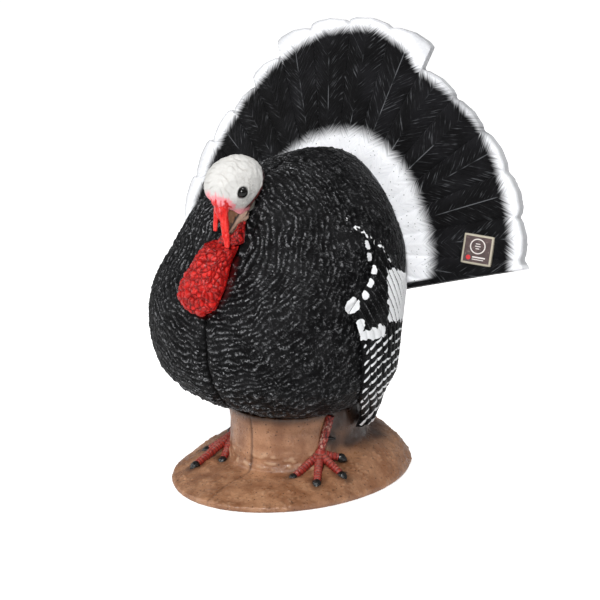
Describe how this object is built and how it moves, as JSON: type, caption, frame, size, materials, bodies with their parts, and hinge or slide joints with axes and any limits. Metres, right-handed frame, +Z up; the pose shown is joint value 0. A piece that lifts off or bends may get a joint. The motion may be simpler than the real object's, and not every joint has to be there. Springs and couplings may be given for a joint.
{
  "type": "turkey archery target",
  "caption": "Life-size strutting turkey target in moulded foam on a ground-shaped base, with a lift-out tail fan, a pull-off head and stake sockets underneath.",
  "frame": {"origin": "centre of the base's flat underside, on the plane where the left and right castings meet", "axes": "+Z up, -Y the way the bird faces, +X its left side"},
  "size_m": [0.5749, 0.4004, 0.6045],
  "materials": {
    "ground_foam": "satin brown paint on moulded foam",
    "body_foam": "black self-healing foam",
    "wing_foam": "black foam with white painted bars",
    "leg_paint": "red paint with white overspray",
    "claw_paint": "black paint",
    "tube_plastic": "extruded grey plastic",
    "fan_foam": "black foam with sprayed white bands",
    "insert_wood": "plain birch",
    "marker_print": "printed film",
    "head_foam": "white paint shading to pink and red",
    "eye_gloss": "glossy black",
    "beak_paint": "satin horn brown",
    "wattle_paint": "glossy red paint"
  },
  "bodies": {
    "target_body": {"base_left": "ground_foam", "base_right": "ground_foam", "torso_left": "body_foam", "torso_right": "body_foam", "wing_left": "wing_foam", "wing_right": "wing_foam", "leg_left": "leg_paint", "leg_right": "leg_paint", "claws_left": "claw_paint", "claws_right": "claw_paint", "stake_tube_front": "tube_plastic", "stake_tube_rear": "tube_plastic", "tail_socket": "tube_plastic", "neck_socket": "tube_plastic"},
    "tail": {"tail_fan": "fan_foam", "tail_tongue": "insert_wood", "marker_patch": "marker_print"},
    "head_unit": {"head": "head_foam", "neck_peg": "insert_wood", "eye_left": "eye_gloss", "eye_right": "eye_gloss", "beak_upper": "beak_paint", "beak_lower": "beak_paint", "snood": "wattle_paint", "wattle": "wattle_paint"}
  },
  "joints": [
    {"name": "tail_lift", "type": "slide", "parent": "target_body", "child": "tail", "axis": [0, 0.2419, 0.9703], "range_m": [0, 0.12]},
    {"name": "head_pull", "type": "slide", "parent": "target_body", "child": "head_unit", "axis": [0, -0.8886, 0.4586], "range_m": [0, 0.08]}
  ]
}
